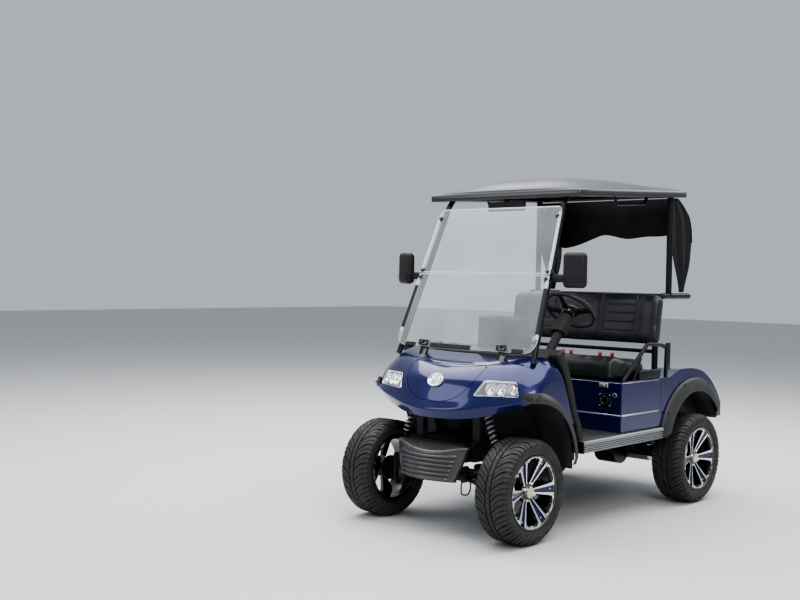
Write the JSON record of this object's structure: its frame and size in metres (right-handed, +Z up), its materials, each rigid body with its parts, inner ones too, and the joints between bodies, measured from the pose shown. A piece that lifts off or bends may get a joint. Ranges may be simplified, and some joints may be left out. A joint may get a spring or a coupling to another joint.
{
  "type": "two-seat lifted electric golf cart",
  "caption": "Low open vehicle with a bench seat, a roof on struts, a sloping windshield, a bag rack under a canvas cover and all-terrain tyres.",
  "frame": {"origin": "on the ground under the middle of the vehicle", "axes": "+X to the vehicle's left, -Y forward, +Z up"},
  "size_m": [1.3768, 2.4495, 2.0308],
  "materials": {
    "frame_black": "satin black powder coat",
    "floor_rubber": "ribbed mat",
    "body_blue": "metallic dark blue gloss",
    "trim_black": "textured",
    "battery_case": "plain case",
    "step_aluminium": "ribbed extrusion",
    "lamp_clear": "clear lens over a bright reflector",
    "shock_steel": "plated",
    "motor_metal": "plain case",
    "screen_clear": "clear acrylic",
    "clip_black": "moulded",
    "roof_plastic": "soft sheen",
    "seat_vinyl": "black vinyl, stitched",
    "canvas_black": "woven canvas",
    "lamp_red": "red lens",
    "wheel_grip": "soft grip",
    "tyre_rubber": "all-terrain tread",
    "rim_alloy": "machined edges on gloss black"
  },
  "bodies": {
    "chassis": {"frame_rails": "frame_black", "floor_board": "floor_rubber", "front_cowl": "body_blue", "hood_panel": "body_blue", "cowl_trims": "trim_black", "dashboard": "trim_black", "seat_pod": "body_blue", "rear_body": "body_blue", "battery_pack": "battery_case", "front_flares": "trim_black", "rear_flares": "trim_black", "side_steps": "step_aluminium", "headlamps": "lamp_clear", "front_bumper": "trim_black", "front_axle": "frame_black", "shock_towers": "frame_black", "front_shocks": "shock_steel", "rear_axle": "frame_black", "motor": "motor_metal", "rear_springs": "frame_black", "steering_column": "trim_black", "pedals": "frame_black", "windshield_lower": "screen_clear", "windshield_upper": "screen_clear", "windshield_fittings": "clip_black", "front_struts": "frame_black", "roof_frame": "frame_black", "roof": "roof_plastic", "roof_handles": "frame_black", "interior_mirror": "clip_black", "side_mirrors": "clip_black", "seat_back": "seat_vinyl", "armrests": "frame_black", "seat_belts": "clip_black", "rear_struts": "frame_black", "bag_rack": "frame_black", "bag_cover": "canvas_black", "tail_lamps": "lamp_red"},
    "seat": {"seat_cushion": "seat_vinyl"},
    "steering_wheel": {"steering_wheel": "wheel_grip"},
    "knuckle_left": {"knuckle_left": "frame_black"},
    "knuckle_right": {"knuckle_right": "frame_black"},
    "tie_rod": {"tie_rod": "shock_steel"},
    "wheel_front_left": {"tyre_front_left": "tyre_rubber", "rim_front_left": "rim_alloy"},
    "wheel_front_right": {"tyre_front_right": "tyre_rubber", "rim_front_right": "rim_alloy"},
    "wheel_rear_left": {"tyre_rear_left": "tyre_rubber", "rim_rear_left": "rim_alloy"},
    "wheel_rear_right": {"tyre_rear_right": "tyre_rubber", "rim_rear_right": "rim_alloy"}
  },
  "joints": [
    {"name": "seat_tilt", "type": "hinge", "parent": "chassis", "child": "seat", "pos_m": [0, -0.09725, 0.8083], "axis": [1, 0, 0], "range_deg": [0, 60]},
    {"name": "steer_left", "type": "hinge", "parent": "chassis", "child": "knuckle_left", "pos_m": [0.41, -0.94525, 0.2795], "axis": [0, 0, 1], "range_deg": [-30, 30]},
    {"name": "steer_right", "type": "hinge", "parent": "chassis", "child": "knuckle_right", "pos_m": [-0.41, -0.94525, 0.2795], "axis": [0, 0, 1], "range_deg": [-30, 30]},
    {"name": "steering_wheel_turn", "type": "hinge", "parent": "chassis", "child": "steering_wheel", "pos_m": [0.3, -0.22525, 1.22], "axis": [0, 0.6428, 0.766], "range_deg": [-450, 450]},
    {"name": "tie_rod_slide", "type": "slide", "parent": "chassis", "child": "tie_rod", "axis": [1, 0, 0], "range_m": [-0.0525, 0.0525]},
    {"name": "spin_front_left", "type": "hinge", "parent": "knuckle_left", "child": "wheel_front_left", "pos_m": [0.493, -0.94525, 0.2795], "axis": [1, 0, 0], "continuous": true},
    {"name": "spin_front_right", "type": "hinge", "parent": "knuckle_right", "child": "wheel_front_right", "pos_m": [-0.493, -0.94525, 0.2795], "axis": [1, 0, 0], "continuous": true},
    {"name": "spin_rear_left", "type": "hinge", "parent": "chassis", "child": "wheel_rear_left", "pos_m": [0.549, 0.75475, 0.2795], "axis": [1, 0, 0], "continuous": true},
    {"name": "spin_rear_right", "type": "hinge", "parent": "chassis", "child": "wheel_rear_right", "pos_m": [-0.549, 0.75475, 0.2795], "axis": [1, 0, 0], "continuous": true}
  ],
  "couplings": [
    {"joint": "steer_right", "follows": "steer_left", "ratio": 1},
    {"joint": "steering_wheel_turn", "follows": "steer_left", "ratio": 15},
    {"joint": "tie_rod_slide", "follows": "steer_left", "m_per_rad": -0.1}
  ]
}
